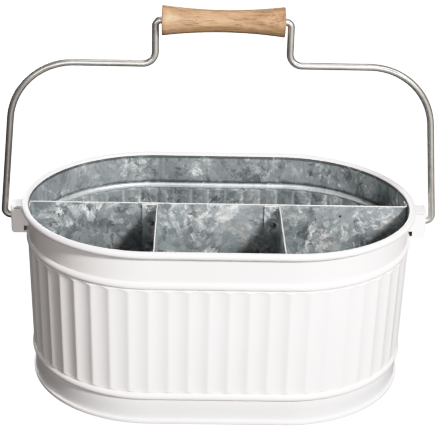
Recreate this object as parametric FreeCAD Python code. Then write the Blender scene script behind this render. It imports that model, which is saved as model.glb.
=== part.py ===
import FreeCAD, Part
import math
import os

from FreeCAD import Vector

# Oval sheet-steel cutlery caddy. Millimetres and degrees, +Z up, X along the length.
# The origin is the middle of the base, on the surface that the caddy stands on.

# Sheet and fits
sheet = 0.7
seat_gap = 0.05
pivot_clearance = 0.08
cut_overrun = 1.0

# Rim and wall
rim_length = 278.0
rim_width = 184.6
tub_height = 132.0
curl_diameter = 4.8
curl_end_angle = -118.0
rim_wire_clearance = 0.1
wall_draft = 1.0

# Beads that stand out round the wall
upper_bead_below_rim = 25.5
lower_bead_height = 21.8
bead_half_height = 2.9
bead_proud = 1.9

# Flutes between the beads
flute_margin = 0.6
flute_fade = 2.4
flute_rise = 1.4
flute_depth = 1.3
flutes_per_side = 7
flutes_per_end = 21

# Foot of the wall and the bottom pan seamed round it
foot_flange_width = 1.1
floor_lift = 3.0
seam_slack = 1.4

# Dividers
divider_below_rim = 4.1
divider_wall_gap = 0.3
end_flange_width = 10.0
cross_divider_offset = 43.3
cross_divider_drop = 0.5
divider_flange_width = 11.0
front_flange_width = 8.0
weld_mark_diameter = 4.0
weld_mark_depth = 0.25
weld_mark_from_web = 3.4
weld_mark_from_top = 15.2
hang_hole_diameter = 1.6
hang_hole_from_web = 43.0
hang_hole_from_top = 8.3

# Ears
ear_sheet = 1.2
ear_width = 12.8
ear_height = 20.4
ear_below_curl = 0.8
ear_reach = 12.1
ear_wall_opening = 3.1
ear_slit = 0.7
ear_slit_length = 5.4
ear_fold_radius = 1.8
ear_corner_radius = 2.6
ear_tab_above_bead = 2.1

# Bail and grip
bail_wire_diameter = 5.0
pivot_below_ear_top = 9.1
bail_rise = 113.0
bail_leg_lean = 11.3
bail_hook_length = 7.0
bail_hook_radius = 4.2
bail_hook_start = 0.46
bail_shoulder_radius = 45.0
bail_jog_rise = 30.2
bail_jog_low_radius = 8.5
bail_jog_high_radius = 3.6
grip_length = 82.4
grip_end_play = 0.6
grip_end_diameter = 20.7
grip_waist_diameter = 15.2
grip_edge_radius = 0.8

# Derived sizes
half_straight = (rim_length - rim_width) / 2
draft_slope = math.tan(math.radians(wall_draft))
curl_radius = curl_diameter / 2
curl_centre_r = rim_width / 2 - curl_radius
curl_centre_z = tub_height - curl_radius
rim_wire_diameter = (curl_radius - sheet - rim_wire_clearance) * 2
upper_bead_height = tub_height - upper_bead_below_rim
flute_bottom = lower_bead_height + bead_half_height + flute_margin
flute_top = upper_bead_height - bead_half_height - flute_margin
foot_flange_low = sheet + seat_gap
foot_flange_high = foot_flange_low + sheet
seam_height = foot_flange_high + sheet + seat_gap + seam_slack
floor_top = floor_lift + sheet
divider_low = floor_top + seat_gap
divider_top = tub_height - divider_below_rim
hang_hole_x = cross_divider_offset + hang_hole_from_web
ear_top = tub_height - curl_diameter - ear_below_curl
ear_tab_bottom = upper_bead_height + bead_half_height + ear_tab_above_bead
pivot_height = ear_top - pivot_below_ear_top
bail_flat_height = pivot_height + bail_rise
bail_jog_x = grip_length / 2 + grip_end_play + bail_jog_high_radius
grip_axis_height = bail_flat_height + bail_jog_rise
half_turn = 180
vertical = Vector(0, 0, 1)
along = Vector(1, 0, 0)
across = Vector(0, 1, 0)


def wall_inside(z):
    """Radius of the smooth wall's inner face, measured from the axis of the rounded end."""
    return curl_centre_r - curl_radius - draft_slope * (curl_centre_z - z)


def wall_outside(z):
    return wall_inside(z) + sheet


def crest_inside(z):
    """Radius of the wall's innermost line, flutes included, which the dividers keep clear of."""
    return wall_inside(z) - max(flute_depth - flute_rise, 0)


def front_reach(x, z):
    """Distance from the middle plane to the flutes' innermost line, at a place along the tub."""
    past_straight = max(abs(x) - half_straight, 0)
    return math.sqrt(crest_inside(z) ** 2 - past_straight ** 2)


def foot_flange_edge():
    return wall_outside(foot_flange_high) + foot_flange_width


def ear_plate_x():
    """Place of the ear's outer face, which the bail's legs start from."""
    return half_straight + wall_outside(ear_top) + ear_reach


def line(start, end):
    return Part.LineSegment(start, end).toShape()


def arc(start, middle, end):
    return Part.Arc(start, middle, end).toShape()


def closed_face(steps, place):
    """Face of a closed outline. A step is a point, or a pair of points for an arc to the second."""
    start = place(*steps[0])
    edges = []
    here = start
    for step in steps[1:]:
        if isinstance(step[0], tuple):
            middle = place(*step[0])
            end = place(*step[1])
            edges.append(arc(here, middle, end))
        else:
            end = place(*step)
            edges.append(line(here, end))
        here = end
    if not here.isEqual(start, seat_gap / 2):
        edges.append(line(here, start))
    return Part.Face(Part.Wire(edges))


def section(x, side):
    """Maps a radius and a height to a point of the upright plane across the tub at x."""
    def place(radius, z):
        return Vector(x, side * radius, z)
    return place


def carry_round(steps):
    """Solid whose section is the outline, carried round the oval."""
    left_axis = Vector(-half_straight, 0, 0)
    right_axis = Vector(half_straight, 0, 0)
    run = right_axis - left_axis
    front = closed_face(steps, section(-half_straight, -1)).extrude(run)
    right = closed_face(steps, section(half_straight, -1)).revolve(right_axis, vertical, half_turn)
    rear = closed_face(steps, section(half_straight, 1)).extrude(-run)
    left = closed_face(steps, section(-half_straight, 1)).revolve(left_axis, vertical, half_turn)
    return front.fuse([right, rear, left]).removeSplitter()


def oval_plate(radius, low, high):
    rise = Vector(0, 0, high - low)
    corner = Vector(-half_straight, -radius, low)
    middle = Part.makeBox(half_straight * 2, radius * 2, high - low, corner)
    discs = []
    for x in (-half_straight, half_straight):
        circle = Part.makeCircle(radius, Vector(x, 0, low))
        discs.append(Part.Face(Part.Wire(circle)).extrude(rise))
    return middle.fuse(discs).removeSplitter()


def end_point(axis_x, radius, angle, z):
    return Vector(axis_x + radius * math.cos(angle), radius * math.sin(angle), z)


def oval_wire(radius, depth, z):
    """Oval outline cut into one edge per flute, each hollowed by depth."""
    edges = []
    pitch = half_straight * 2 / flutes_per_side
    step = math.pi / flutes_per_end
    for side in (-1, 1):
        run = -side
        for i in range(flutes_per_side):
            start = Vector(run * (-half_straight + i * pitch), side * radius, z)
            end = start + Vector(run * pitch, 0, 0)
            middle = (start + end) / 2 - Vector(0, side * depth, 0)
            edges.append(arc(start, middle, end) if depth else line(start, end))
        axis_x = run * half_straight
        first = side * math.pi / 2
        for i in range(flutes_per_end):
            start = end_point(axis_x, radius, first + i * step, z)
            middle = end_point(axis_x, radius - depth, first + (i + 1 / 2) * step, z)
            end = end_point(axis_x, radius, first + (i + 1) * step, z)
            edges.append(arc(start, middle, end))
    return Part.Wire(edges)


def fluted_band():
    """Band of flutes, whose arrises stand out from the smooth wall and fade into it at both ends."""
    levels = [
        (flute_bottom, 0, 0),
        (flute_bottom + flute_fade, flute_rise, flute_depth),
        (flute_top - flute_fade, flute_rise, flute_depth),
        (flute_top, 0, 0),
    ]
    outer = Part.makeLoft([oval_wire(wall_outside(z) + rise, depth, z) for z, rise, depth in levels], True, True)
    inner = Part.makeLoft([oval_wire(wall_inside(z) + rise, depth, z) for z, rise, depth in levels], True, True)
    return outer.cut(inner)


def bead_steps(radius_at, height, inner, upwards):
    """Outline steps past one bead, on the wall's outer or inner face."""
    outer_radius = (bead_half_height ** 2 + bead_proud ** 2) / (2 * bead_proud)
    half = bead_half_height
    if inner:
        half = math.sqrt((outer_radius - sheet) ** 2 - (outer_radius - bead_proud - sheet) ** 2)
    low = height - half
    high = height + half
    crest = (radius_at(height) + bead_proud, height)
    first, last = (low, high) if upwards else (high, low)
    return [(radius_at(first), first), (crest, (radius_at(last), last))]


def curl_point(radius, angle):
    turn = math.radians(angle)
    return (curl_centre_r + radius * math.cos(turn), curl_centre_z + radius * math.sin(turn))


def tub_wall():
    curl_hollow = curl_radius - sheet
    over_top = (half_turn + curl_end_angle) / 2
    rim = [
        (wall_inside(flute_top), flute_top),
        *bead_steps(wall_inside, upper_bead_height, True, True),
        curl_point(curl_radius, half_turn),
        (curl_point(curl_radius, over_top), curl_point(curl_radius, curl_end_angle)),
        curl_point(curl_hollow, curl_end_angle),
        (curl_point(curl_hollow, over_top), curl_point(curl_hollow, half_turn)),
        *bead_steps(wall_outside, upper_bead_height, False, False),
        (wall_outside(flute_top), flute_top),
    ]
    foot = [
        (wall_outside(flute_bottom), flute_bottom),
        *bead_steps(wall_outside, lower_bead_height, False, False),
        (wall_outside(foot_flange_high), foot_flange_high),
        (foot_flange_edge(), foot_flange_high),
        (foot_flange_edge(), foot_flange_low),
        (wall_inside(foot_flange_low), foot_flange_low),
        *bead_steps(wall_inside, lower_bead_height, True, True),
        (wall_inside(flute_bottom), flute_bottom),
    ]
    return carry_round(rim).fuse([fluted_band(), carry_round(foot)])


def rim_wire():
    radius = rim_wire_diameter / 2
    inner = (curl_centre_r - radius, curl_centre_z)
    outer = (curl_centre_r + radius, curl_centre_z)
    over = (curl_centre_r, curl_centre_z + radius)
    under = (curl_centre_r, curl_centre_z - radius)
    return carry_round([inner, (over, outer), (under, inner)])


def bottom_pan():
    skirt = wall_inside(foot_flange_low) - seat_gap
    lip_inner = foot_flange_edge() + seat_gap
    lip_outer = lip_inner + sheet
    seam_end = wall_outside(seam_height) + seat_gap
    seam = carry_round([
        (skirt - sheet, 0),
        (lip_outer, 0),
        (lip_outer, seam_height),
        (seam_end, seam_height),
        (seam_end, seam_height - sheet),
        (lip_inner, seam_height - sheet),
        (lip_inner, sheet),
        (skirt, sheet),
        (skirt, floor_lift),
        (skirt - sheet, floor_lift),
    ])
    return oval_plate(skirt, floor_lift, floor_top).fuse(seam).removeSplitter()


def upright_strip(inset, width, side):
    """Flange strip that follows the rounded end from the middle plane, towards side in Y."""
    outer_low = crest_inside(divider_low) - inset
    outer_high = crest_inside(divider_top) - inset
    axis = Vector(half_straight, 0, 0)
    face = closed_face(
        [
            (half_straight + outer_low - sheet, divider_low),
            (half_straight + outer_low, divider_low),
            (half_straight + outer_high, divider_top),
            (half_straight + outer_high - sheet, divider_top),
        ],
        lambda x, z: Vector(x, 0, z),
    )
    sweep = side * math.degrees(width / crest_inside(divider_top))
    return face.revolve(axis, vertical, sweep)


def long_divider():
    end_low = half_straight + crest_inside(divider_low) - divider_wall_gap
    end_high = half_straight + crest_inside(divider_top) - divider_wall_gap
    web = closed_face(
        [
            (-end_low, divider_low),
            (end_low, divider_low),
            (end_high, divider_top),
            (-end_high, divider_top),
        ],
        lambda x, z: Vector(x, -sheet / 2, z),
    ).extrude(Vector(0, sheet, 0))
    rear_flange = upright_strip(divider_wall_gap, end_flange_width, 1)
    front_flange = upright_strip(divider_wall_gap, end_flange_width, 1)
    front_flange.rotate(Vector(0, 0, 0), vertical, half_turn)
    hole = Part.makeCylinder(
        hang_hole_diameter / 2,
        sheet + cut_overrun * 2,
        Vector(hang_hole_x, -sheet / 2 - cut_overrun, divider_top - hang_hole_from_top),
        across,
    )
    return web.fuse([rear_flange, front_flange]).removeSplitter().cut(hole)


def cross_divider(web_x):
    """Sheet across the front half, with a flange to the left on the long divider and on the wall."""
    low = divider_low
    high = divider_top - cross_divider_drop
    back = -sheet / 2 - seat_gap
    outermost_x = max(abs(web_x), abs(web_x - front_flange_width))
    front_low = divider_wall_gap - front_reach(outermost_x, low)
    front_high = divider_wall_gap - front_reach(outermost_x, high)
    web = closed_face(
        [(back, low), (back, high), (front_high, high), (front_low, low)],
        lambda y, z: Vector(web_x - sheet, y, z),
    ).extrude(Vector(sheet, 0, 0))
    flange = Part.makeBox(
        divider_flange_width,
        sheet,
        high - low,
        Vector(web_x - divider_flange_width, back - sheet, low),
    )
    wall_flange = closed_face(
        [(front_low, low), (front_low + sheet, low), (front_high + sheet, high), (front_high, high)],
        lambda y, z: Vector(web_x - front_flange_width, y, z),
    ).extrude(Vector(front_flange_width, 0, 0))
    mark = Part.makeCylinder(
        weld_mark_diameter / 2,
        weld_mark_depth + cut_overrun,
        Vector(
            web_x - sheet - weld_mark_from_web,
            back - sheet - cut_overrun,
            high - weld_mark_from_top,
        ),
        across,
    )
    return web.fuse([flange, wall_flange]).removeSplitter().cut(mark)


def ear(side):
    """Folded box bracket at one end: outer plate, a flap on each of its four sides and a tab on the wall."""
    plate_x = ear_plate_x()
    wall_x = plate_x - ear_reach
    bottom = ear_top - ear_height
    half_width = ear_width / 2
    flap_top = ear_top - ear_sheet - ear_slit
    box = Part.makeBox(
        plate_x - wall_x,
        ear_width,
        ear_height,
        Vector(wall_x, -half_width, bottom),
    )
    folds = [
        edge for edge in box.Edges
        if edge.BoundBox.XMin > plate_x - seat_gap and edge.BoundBox.ZLength > ear_height - seat_gap
    ]
    hollow = Part.makeBox(
        plate_x - wall_x - ear_sheet + cut_overrun,
        ear_width - ear_sheet * 2,
        ear_height - ear_sheet * 2,
        Vector(wall_x - cut_overrun, -half_width + ear_sheet, bottom + ear_sheet),
    )
    shell = box.makeFillet(ear_fold_radius, folds).cut(hollow)
    slit = Part.makeBox(
        ear_slit_length,
        ear_width + cut_overrun * 2,
        ear_slit,
        Vector(plate_x - ear_fold_radius - ear_slit_length, -half_width - cut_overrun, flap_top),
    )
    wall_opening = Part.makeBox(
        ear_wall_opening + cut_overrun,
        ear_width + cut_overrun * 2,
        ear_tab_bottom - bottom - ear_sheet,
        Vector(wall_x - cut_overrun, -half_width - cut_overrun, bottom + ear_sheet),
    )
    pin_hole = Part.makeCylinder(
        bail_wire_diameter / 2 + pivot_clearance,
        ear_sheet + cut_overrun * 2,
        Vector(plate_x - ear_sheet - cut_overrun, 0, pivot_height),
        along,
    )
    corner = Part.makeBox(
        ear_corner_radius + cut_overrun,
        ear_width + cut_overrun * 2,
        ear_corner_radius + cut_overrun,
        Vector(plate_x - ear_corner_radius, -half_width - cut_overrun, bottom - cut_overrun),
    )
    rounding = Part.makeCylinder(
        ear_corner_radius,
        ear_width + cut_overrun * 2,
        Vector(plate_x - ear_corner_radius, -half_width - cut_overrun, bottom + ear_corner_radius),
        across,
    )
    bracket = shell.cut([slit, wall_opening, pin_hole, corner.cut(rounding)])
    tab_inner = wall_outside(ear_tab_bottom) + seat_gap
    tab_low = (half_straight + tab_inner, ear_tab_bottom)
    tab_high = (half_straight + wall_outside(ear_top) + seat_gap, ear_top)
    tab_face = closed_face(
        [tab_low, (tab_low[0] + ear_sheet, tab_low[1]), (tab_high[0] + ear_sheet, tab_high[1]), tab_high],
        lambda x, z: Vector(x, 0, z),
    )
    axis = Vector(half_straight, 0, 0)
    half_sweep = math.degrees(half_width / (tab_inner + ear_sheet))
    tab = tab_face.revolve(axis, vertical, half_sweep * 2)
    tab.rotate(axis, vertical, -half_sweep)
    clear_wall = Part.makeCone(
        wall_outside(bottom) + seat_gap,
        wall_outside(tub_height) + seat_gap,
        tub_height - bottom,
        Vector(half_straight, 0, bottom),
    )
    clear_bead = Part.makeCylinder(
        wall_outside(upper_bead_height) + bead_proud + seat_gap,
        upper_bead_height + bead_half_height - bottom + cut_overrun,
        Vector(half_straight, 0, bottom - cut_overrun),
    )
    body = bracket.fuse(tab).removeSplitter().cut([clear_wall, clear_bead])
    if side < 0:
        return body.mirror(Vector(0, 0, 0), along)
    return body


def rounded_path(points, radii):
    """Straight runs joined by tangent arcs, one radius for each inner point."""
    edges = []
    here = points[0]
    for before, corner, after, radius in zip(points, points[1:], points[2:], radii):
        inward = (before - corner).normalize()
        outward = (after - corner).normalize()
        half = inward.getAngle(outward) / 2
        start = corner + inward * (radius / math.tan(half))
        end = corner + outward * (radius / math.tan(half))
        bisector = (inward + outward).normalize()
        middle = corner + bisector * (radius / math.sin(half) - radius)
        edges.append(line(here, start))
        edges.append(arc(start, middle, end))
        here = end
    edges.append(line(here, points[-1]))
    return Part.Wire(edges)


def bail_wire():
    plate_x = ear_plate_x()
    leg_angle = math.atan2(bail_rise, bail_leg_lean)
    foot_x = plate_x + bail_hook_start + bail_hook_radius / math.tan(leg_angle / 2)
    shoulder_x = foot_x - bail_leg_lean
    half = [
        Vector(plate_x - bail_hook_length, 0, pivot_height),
        Vector(foot_x, 0, pivot_height),
        Vector(shoulder_x, 0, bail_flat_height),
        Vector(bail_jog_x, 0, bail_flat_height),
        Vector(bail_jog_x, 0, grip_axis_height),
    ]
    radii = [bail_hook_radius, bail_shoulder_radius, bail_jog_low_radius, bail_jog_high_radius]
    other_half = [Vector(-point.x, point.y, point.z) for point in reversed(half)]
    path = rounded_path(half + other_half, radii + radii[::-1])
    circle = Part.makeCircle(bail_wire_diameter / 2, half[0], along)
    return path.makePipeShell([Part.Wire(circle)], True, False)


def wood_grip():
    half_length = grip_length / 2
    end = grip_end_diameter / 2
    waist = grip_waist_diameter / 2
    bore = bail_wire_diameter / 2 + pivot_clearance
    profile = closed_face(
        [
            (-half_length, bore),
            (-half_length, end),
            ((0, waist), (half_length, end)),
            (half_length, bore),
        ],
        lambda x, radius: Vector(x, 0, grip_axis_height + radius),
    )
    turned = profile.revolve(Vector(0, 0, grip_axis_height), along, half_turn * 2)
    rims = [
        edge for edge in turned.Edges
        if edge.BoundBox.XLength < seat_gap and edge.BoundBox.ZLength > grip_waist_diameter
    ]
    return turned.makeFillet(grip_edge_radius, rims)


def export(name, shape):
    solids = shape.Solids
    if len(solids) != 1 or not shape.isValid():
        raise ValueError(f"{name}: {len(solids)} solids, valid {shape.isValid()}")
    solids[0].exportStep(f"parts/{name}.step")
    box = shape.optimalBoundingBox()
    print(
        f"{name}: volume {shape.Volume:.1f}, "
        f"x {box.XMin:.2f} {box.XMax:.2f}, y {box.YMin:.2f} {box.YMax:.2f}, z {box.ZMin:.2f} {box.ZMax:.2f}"
    )


os.makedirs("parts", exist_ok=True)
export("tub_wall", tub_wall())
export("rim_wire", rim_wire())
export("bottom_pan", bottom_pan())
export("long_divider", long_divider())
export("cross_divider_left", cross_divider(-cross_divider_offset))
export("cross_divider_right", cross_divider(cross_divider_offset))
export("ear_left", ear(-1))
export("ear_right", ear(1))
export("bail_wire", bail_wire())
export("wood_grip", wood_grip())
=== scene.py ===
import math

import bmesh
import bpy
from mathutils import Matrix, Vector


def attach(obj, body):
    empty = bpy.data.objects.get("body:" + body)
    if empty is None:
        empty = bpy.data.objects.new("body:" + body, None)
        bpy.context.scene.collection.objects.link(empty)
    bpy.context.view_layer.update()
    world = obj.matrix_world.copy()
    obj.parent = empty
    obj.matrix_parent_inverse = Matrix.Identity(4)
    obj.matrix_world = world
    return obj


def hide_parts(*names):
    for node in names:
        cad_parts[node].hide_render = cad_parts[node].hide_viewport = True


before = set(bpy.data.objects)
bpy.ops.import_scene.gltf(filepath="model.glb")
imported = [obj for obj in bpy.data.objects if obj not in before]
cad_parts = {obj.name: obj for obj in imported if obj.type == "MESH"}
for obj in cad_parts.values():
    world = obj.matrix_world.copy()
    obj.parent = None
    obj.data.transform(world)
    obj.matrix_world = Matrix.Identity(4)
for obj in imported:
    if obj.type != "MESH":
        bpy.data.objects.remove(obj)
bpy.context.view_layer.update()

# Sizes in metres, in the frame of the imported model: X along the tub, Z up from the table.
sheet = 0.0007
seat_gap = 0.00005
pivot_clearance = 0.00008

# Rim and wall
half_straight = 0.0467
curl_radius = 0.0024
curl_centre_r = 0.0899
curl_centre_z = 0.1296
curl_end_angle = -118.0
curl_inner_start = 175.0
paint_edge_angle = 168.0
bare_start_angle = 168.5
bare_end_angle = 176.0
wall_slope = math.tan(math.radians(1.0))

# Beads that stand out round the wall
upper_bead_height = 0.1065
lower_bead_height = 0.0218
bead_half_height = 0.0029
bead_proud = 0.0019

# Plain rows of the wall stay this far from a bead's middle and from the curl's centre
bead_margin = 0.004
curl_margin = 0.002
# Height of the row that holds the painted shade under the curl
curl_shade_row = 0.0015

# Bare wall: painted highlight on the lower part of each bead, painted shade above that and under
# the curl
curl_shade_height = 0.0016
bead_light_reach = 1.05
bead_light_top = 0.35
bead_highlight_amount = 1.0
bead_shade_amount = -0.7
curl_shade_amount = -1.0

# Flutes between the beads
flute_clear = 0.0001
flute_bottom = lower_bead_height + bead_half_height + flute_clear
flute_top = upper_bead_height - bead_half_height - flute_clear
flute_fade = 0.0024
fade_steps = (1.0, 0.8, 0.6, 0.42, 0.25, 0.1, 0.0)
flute_rise = 0.0014
flute_depth = 0.0013
flutes_per_side = 7
flutes_per_end = 21
steps_per_flute = 12
arris_start = 0.84
arris_crowding = 0.6
# Painted highlight along the creases between flutes on the bare inside, from this far from a
# flute's middle out to the arris
crease_highlight_start = 0.78

# Foot and bottom pan
foot_flange_low = 0.00075
foot_flange_high = 0.00145
foot_flange_width = 0.0011
seam_height = 0.0036
seam_rounding = 0.0005
seam_edge_radius = sheet * 0.4
lip_tuck = 0.0017
floor_lift = 0.003
floor_top = 0.0037
pan_steps_per_flute = 4

# Dividers
divider_low = 0.00375
divider_top = 0.1279
divider_wall_gap = 0.0003
divider_bend = 0.0013
divider_edge_rounding = 0.00033
end_flange_width = 0.010
cross_divider_offset = 0.0433
cross_divider_top = 0.1274
divider_flange_width = 0.011
flange_spring = 0.0012
front_flange_width = 0.008
weld_mark_diameter = 0.004
weld_mark_depth = 0.00025
weld_mark_from_web = 0.0034
weld_mark_height = 0.1122
hang_hole_diameter = 0.0019
hang_hole_depth = 0.0005
hang_hole_x = 0.0863
hang_hole_height = 0.1196
punch_half_length = 0.002
punch_crown_inset = 0.45
mark_reach = 0.0006

# Part of the coil of sheet that each piece was cut from, so that no two show the same crystals
cut_places = {
    "tub_wall": 0.3,
    "bottom_pan": 1.1,
    "long_divider": 2.3,
    "cross_divider_left": 3.7,
    "cross_divider_right": 5.9,
}

# Ears: faces further in than this are on their inside
ear_shell = 0.001

# Bail: x, z and bend radius of its corners, from the right hook to the grip
bail_wire_diameter = 0.005
bail_corners = (
    (0.13994, 0.1173, 0.0),
    (0.15204, 0.1173, 0.0042),
    (0.14074, 0.2303, 0.045),
    (0.0454, 0.2303, 0.0085),
    (0.0454, 0.2605, 0.0036),
)

# Grip
grip_length = 0.0824
grip_axis_height = 0.2605
grip_end_radius = 0.01035
grip_waist_radius = 0.0076
grip_edge_radius = 0.0008
grip_face_rim = 0.003
grip_sides = 36

# Oval that the wall and the bottom pan follow
tub_oval = {
    "Straight": half_straight,
    "Flutes per side": flutes_per_side,
    "Flutes per end": flutes_per_end,
}

# Meshes: points closer than these are one, and edges that turn more than these degrees stay sharp
seam_merge = 1e-6
clean_merge = 2e-7
shortest_edge = 1e-7
round_slack = 1e-6
sheet_sharp_angle = 40.0
oval_sharp_angle = 50.0
grip_sharp_angle = 55.0

# Faces with more of the bare mark than this are unpainted
bare_from = 0.75

# Painted shade on the paint, greyer towards the foot, between the foot and the lower bead
foot_shade_top, foot_shade_full = 0.0185, 0.0125
foot_shade_start, foot_shade_low = 0.003, 0.005
foot_shade_share = 0.42

# Camera that took the photograph: 437 by 427 pixels, no shift
camera_place = Vector((-0.018977, -0.831388, 0.487456))
camera_elevation = math.radians(23.823)
camera_yaw = math.radians(-1.288)
camera_roll = math.radians(1.402)
camera_lens = 105.323
camera_sensor = 36.0
camera_near, camera_far = 0.05, 30.0

# Light seen and light shown
tone_points = (
    (0.0, 0.0), (0.4, 0.395), (0.75, 0.70), (1.1, 0.865), (1.4, 0.94), (1.75, 1.0), (3.0, 1.0),
)

# Studio lights: name, place, width and height, watts and tint, all aimed at the tub
light_aim = Vector((0.0, 0.0, 0.09))
lights = (
    ("key_right", (0.525, -0.81, 0.735), (0.15, 0.15), 19.5, (1.0, 0.985, 0.975)),
    ("front_soft", (0.06, -1.62, 0.62), (1.0, 0.5), 5.4, (1.0, 0.985, 0.975)),
    ("left_soft", (-0.45, -1.55, 0.48), (0.8, 0.35), 5.2, (1.0, 0.945, 0.915)),
    ("top_soft", (0.0, 0.0, 1.3), (0.7, 0.7), 2.8, (0.97, 0.985, 1.0)),
    ("rear_soft", (-0.5, 1.5, 0.38), (1.3, 0.45), 25.0, (1.0, 0.99, 0.98)),
)

# Studio round the tub: the glow behind it, and the lit table that polished metal mirrors
background_glow = 1.78
table_glow_aim = (0.511, -0.757, -0.407)
table_glow_edge, table_glow_full = 0.75, 0.93
horizon_blend = 0.25
floor_size = 4.0


def pick(sockets, key):
    """A node's socket by its number, or the one in use that has the name."""
    if isinstance(key, int):
        return sockets[key]
    return next(s for s in sockets if s.name == key and s.enabled and not s.is_unavailable)


class Lead:
    """A socket of a node tree. Arithmetic on leads adds Math nodes, and node() any other node."""

    def __init__(self, tree, socket=None):
        self.tree = tree
        self.socket = socket

    def node(self, kind, settings=None, sockets=None, give=0):
        made = self.tree.nodes.new(kind)
        for name, value in (settings or {}).items():
            if name == "stops":
                lay_stops(made.color_ramp, value)
            else:
                setattr(made, name, value)
        for key, value in (sockets or {}).items():
            socket = pick(made.inputs, key)
            if isinstance(value, Lead):
                self.tree.links.new(value.socket, socket)
            else:
                socket.default_value = value
        return Lead(self.tree, pick(made.outputs, give)) if len(made.outputs) else None

    def out(self, key):
        """Another output of the same node."""
        return Lead(self.tree, pick(self.socket.node.outputs, key))

    def math(self, operation, *terms, clamp=False):
        settings = {"operation": operation, "use_clamp": clamp}
        return self.node("ShaderNodeMath", settings, dict(enumerate((self, *terms))))

    def vector(self, operation, *terms, give=0):
        sockets = dict(enumerate((self, *terms)))
        return self.node("ShaderNodeVectorMath", {"operation": operation}, sockets, give)

    def clamped(self):
        return self.math("ADD", 0.0, clamp=True)

    def __add__(self, other):
        return self.math("ADD", other)

    __radd__ = __add__

    def __mul__(self, other):
        return self.math("MULTIPLY", other)

    __rmul__ = __mul__

    def __sub__(self, other):
        return self.math("SUBTRACT", other)

    def __rsub__(self, other):
        return self.node("ShaderNodeMath", {"operation": "SUBTRACT"}, {0: other, 1: self})

    def __truediv__(self, other):
        return self.math("DIVIDE", other)

    def __rtruediv__(self, other):
        return self.node("ShaderNodeMath", {"operation": "DIVIDE"}, {0: other, 1: self})

    def __pow__(self, other):
        return self.math("POWER", other)


def lay_stops(band, stops):
    while len(band.elements) < len(stops):
        band.elements.new(1.0)
    for element, (place, tint) in zip(band.elements, stops):
        element.position = place
        element.color = tint


def colour(red, green, blue):
    return (red, green, blue, 1.0)


def blended(share, first, second):
    """Colour between two others."""
    sockets = {"Factor": share, "A": first, "B": second}
    return share.node("ShaderNodeMix", {"data_type": "RGBA"}, sockets, "Result")


def ramp(value, *stops):
    """Colour that a value has on a band of stops, each a place and a colour."""
    return value.node("ShaderNodeValToRGB", {"stops": stops}, {"Fac": value})


def noise(place, scale=1.0, detail=2.0, roughness=0.5, distortion=0.0):
    return place.node("ShaderNodeTexNoise", {"noise_dimensions": "3D"}, {
        "Vector": place,
        "Scale": scale,
        "Detail": detail,
        "Roughness": roughness,
        "Distortion": distortion,
    })


def spread(value, low, high):
    """Stretches the part of a value between low and high to run from 0 to 1."""
    sockets = {"Value": value, "From Min": low, "From Max": high}
    return value.node("ShaderNodeMapRange", {"clamp": True}, sockets)


def swing(value, amount):
    """How far a value is above or below its middle, times an amount."""
    return (value - 0.5) * amount


def stretched(place, *factors):
    """A place with each of its axes multiplied, which squeezes a pattern along that axis."""
    return place.vector("MULTIPLY", factors)


def shaken(place, colours, reach):
    """A place that is moved about by the colours of a noise."""
    centred = colours.vector("SUBTRACT", (0.5, 0.5, 0.5))
    return centred.vector("MULTIPLY_ADD", (reach, reach, reach), place)


def axis_of(place, letter):
    return place.node("ShaderNodeSeparateXYZ", {}, {0: place}, letter)


def channel(colours, name):
    return colours.node("ShaderNodeSeparateColor", {}, {"Color": colours}, name)


def object_place(lead):
    return lead.node("ShaderNodeTexCoord", {}, {}, "Object")


def finish_mark(lead, name):
    """A number stored on the points of the piece, for its finish."""
    return lead.node("ShaderNodeAttribute", {"attribute_name": name}, {}, "Fac")


def bump(height, strength, distance):
    sockets = {"Height": height, "Strength": strength, "Distance": distance}
    return height.node("ShaderNodeBump", {}, sockets)


def new_material(name):
    made = bpy.data.materials.new(name)
    made.use_nodes = True
    made.node_tree.nodes.clear()
    return made, Lead(made.node_tree)


def surface(lead, sockets):
    shader = lead.node("ShaderNodeBsdfPrincipled", {}, sockets)
    lead.node("ShaderNodeOutputMaterial", {}, {"Surface": shader})


def make_white_paint():
    made, lead = new_material("satin_white_paint")
    shade, light = colour(0.855, 0.828, 0.826), colour(0.885, 0.866, 0.871)
    foot_shade_grey, speck = colour(0.60, 0.63, 0.645), colour(0.72, 0.69, 0.66)
    place = object_place(lead)
    cloud = noise(place, scale=22.0, detail=4.0, roughness=0.55)
    peel = noise(place, scale=620.0)
    fleck = noise(place, scale=240.0, detail=3.0, roughness=0.6)
    tint = blended(spread(cloud, 0.3, 0.7), shade, light)
    height = axis_of(place, "Z")
    # Painted shade: the paint turns greyer from below the lower bead down to the foot, where the
    # light falls off
    foot_shade = spread(height, foot_shade_top, foot_shade_full) * spread(height, foot_shade_start, foot_shade_low)
    foot_shaded = blended(foot_shade * foot_shade_share, tint, foot_shade_grey)
    specks = spread(fleck, 0.66, 0.8) * 0.25
    surface(lead, {
        "Base Color": blended(specks, foot_shaded, speck),
        "Roughness": 0.3 + cloud * 0.12 + peel * 0.05,
        "Specular IOR Level": 0.5,
        "Normal": bump(peel + cloud * 0.6, strength=0.06, distance=0.0004),
    })
    return made


def cells(place):
    """Crystals one unit across, each with a colour of its own."""
    sockets = {"Vector": place, "Scale": 1.0}
    return place.node("ShaderNodeTexVoronoi", {"feature": "F1"}, sockets, "Color")


def sheet_place(lead):
    """Place on the coil of sheet that a piece was cut from."""
    cut = finish_mark(lead, "cut")
    sockets = {"X": cut * 0.37, "Y": cut * 0.21, "Z": cut * 0.53}
    shift = lead.node("ShaderNodeCombineXYZ", {}, sockets)
    return object_place(lead).vector("ADD", shift)


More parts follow.
